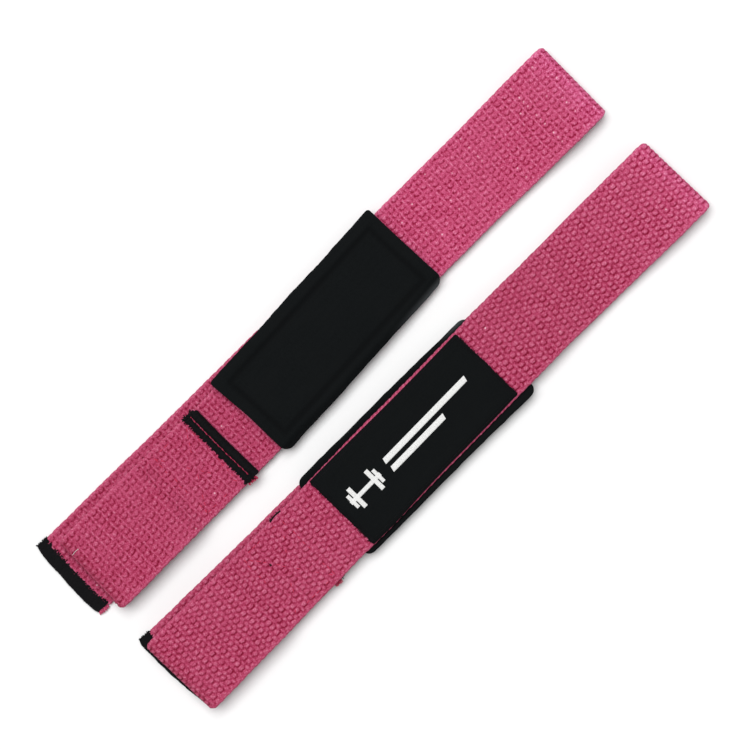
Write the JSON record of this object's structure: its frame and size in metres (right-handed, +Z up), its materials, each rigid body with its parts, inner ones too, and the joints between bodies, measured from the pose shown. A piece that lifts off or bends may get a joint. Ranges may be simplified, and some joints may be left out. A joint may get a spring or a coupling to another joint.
{
  "type": "pair of padded wrist straps",
  "caption": "Pair of pink cotton-webbing wrist straps folded in half, each with a black neoprene wrist pad, a sewn loop with a black bar tack, a woven label patch and a bound tail end.",
  "frame": {"origin": "on the resting plane, under the middle of the first strap's pad", "axes": "+X along the straps from the loop ends to the folds, +Y across, from the second strap towards the first, +Z up from the resting plane"},
  "size_m": [0.3141, 0.1068, 0.0115],
  "materials": {
    "cotton_webbing": "coarse woven cotton, matt",
    "knit_facing": "fine knit jersey, matt",
    "neoprene_foam": "closed-cell foam",
    "label_weave": "fine woven label",
    "white_thread": "woven motif",
    "black_thread": "satin stitching",
    "pink_thread": "sewing thread"
  },
  "bodies": {
    "a_tail": {"a_tail_webbing": "cotton_webbing", "a_tail_binding": "black_thread", "a_fold_webbing": "cotton_webbing"},
    "a_front": {"a_front_webbing": "cotton_webbing"},
    "a_padded": {"a_pad_webbing": "cotton_webbing", "a_pad_backing": "knit_facing", "a_pad_foam": "neoprene_foam", "a_pad_facing": "knit_facing", "a_label_patch": "label_weave", "a_label_mark": "white_thread", "a_label_stitching": "black_thread"},
    "a_loop": {"a_loop_webbing": "cotton_webbing", "a_loop_rear_webbing": "cotton_webbing", "a_loop_bar_tack": "black_thread", "a_loop_box_stitch": "pink_thread"},
    "a_loop_top": {"a_loop_top_webbing": "cotton_webbing"},
    "b_tail": {"b_tail_webbing": "cotton_webbing", "b_tail_binding": "black_thread", "b_fold_webbing": "cotton_webbing"},
    "b_front": {"b_front_webbing": "cotton_webbing"},
    "b_padded": {"b_pad_webbing": "cotton_webbing", "b_pad_backing": "knit_facing", "b_pad_foam": "neoprene_foam", "b_pad_facing": "knit_facing", "b_label_patch": "label_weave", "b_label_mark": "white_thread", "b_label_stitching": "black_thread"},
    "b_loop": {"b_loop_webbing": "cotton_webbing", "b_loop_rear_webbing": "cotton_webbing", "b_loop_bar_tack": "black_thread", "b_loop_box_stitch": "pink_thread"},
    "b_loop_top": {"b_loop_top_webbing": "cotton_webbing"}
  },
  "joints": [
    {"name": "b_lift", "type": "slide", "parent": "a_tail", "child": "b_tail", "axis": [0, 0, 1], "range_m": [0, 0.15]},
    {"name": "a_unfold", "type": "hinge", "parent": "a_tail", "child": "a_front", "pos_m": [0.1518, 0, 0.0058], "axis": [0, -1, 0], "range_deg": [-179.9, 0], "deforming": ["a_fold_webbing"]},
    {"name": "a_pad_bend", "type": "hinge", "parent": "a_front", "child": "a_padded", "pos_m": [0.0575, 0, 0.0051], "axis": [0, 1, 0], "range_deg": [0, 80]},
    {"name": "a_loop_bend", "type": "hinge", "parent": "a_padded", "child": "a_loop", "pos_m": [-0.0575, 0, 0.0051], "axis": [0, 1, 0], "range_deg": [0, 80]},
    {"name": "a_loop_open", "type": "slide", "parent": "a_loop", "child": "a_loop_top", "axis": [0, 0, 1], "range_m": [0, 0.01]},
    {"name": "b_unfold", "type": "hinge", "parent": "b_tail", "child": "b_front", "pos_m": [0.1549, -0.0594, 0.0058], "axis": [0, -1, 0], "range_deg": [-179.9, 0], "deforming": ["b_fold_webbing"]},
    {"name": "b_pad_bend", "type": "hinge", "parent": "b_front", "child": "b_padded", "pos_m": [0.0528, -0.0594, 0.00845], "axis": [0, 1, 0], "range_deg": [0, 80]},
    {"name": "b_loop_bend", "type": "hinge", "parent": "b_padded", "child": "b_loop", "pos_m": [-0.0622, -0.0594, 0.00845], "axis": [0, 1, 0], "range_deg": [0, 80]},
    {"name": "b_loop_open", "type": "slide", "parent": "b_loop", "child": "b_loop_top", "axis": [0, 0, 1], "range_m": [0, 0.01]}
  ]
}
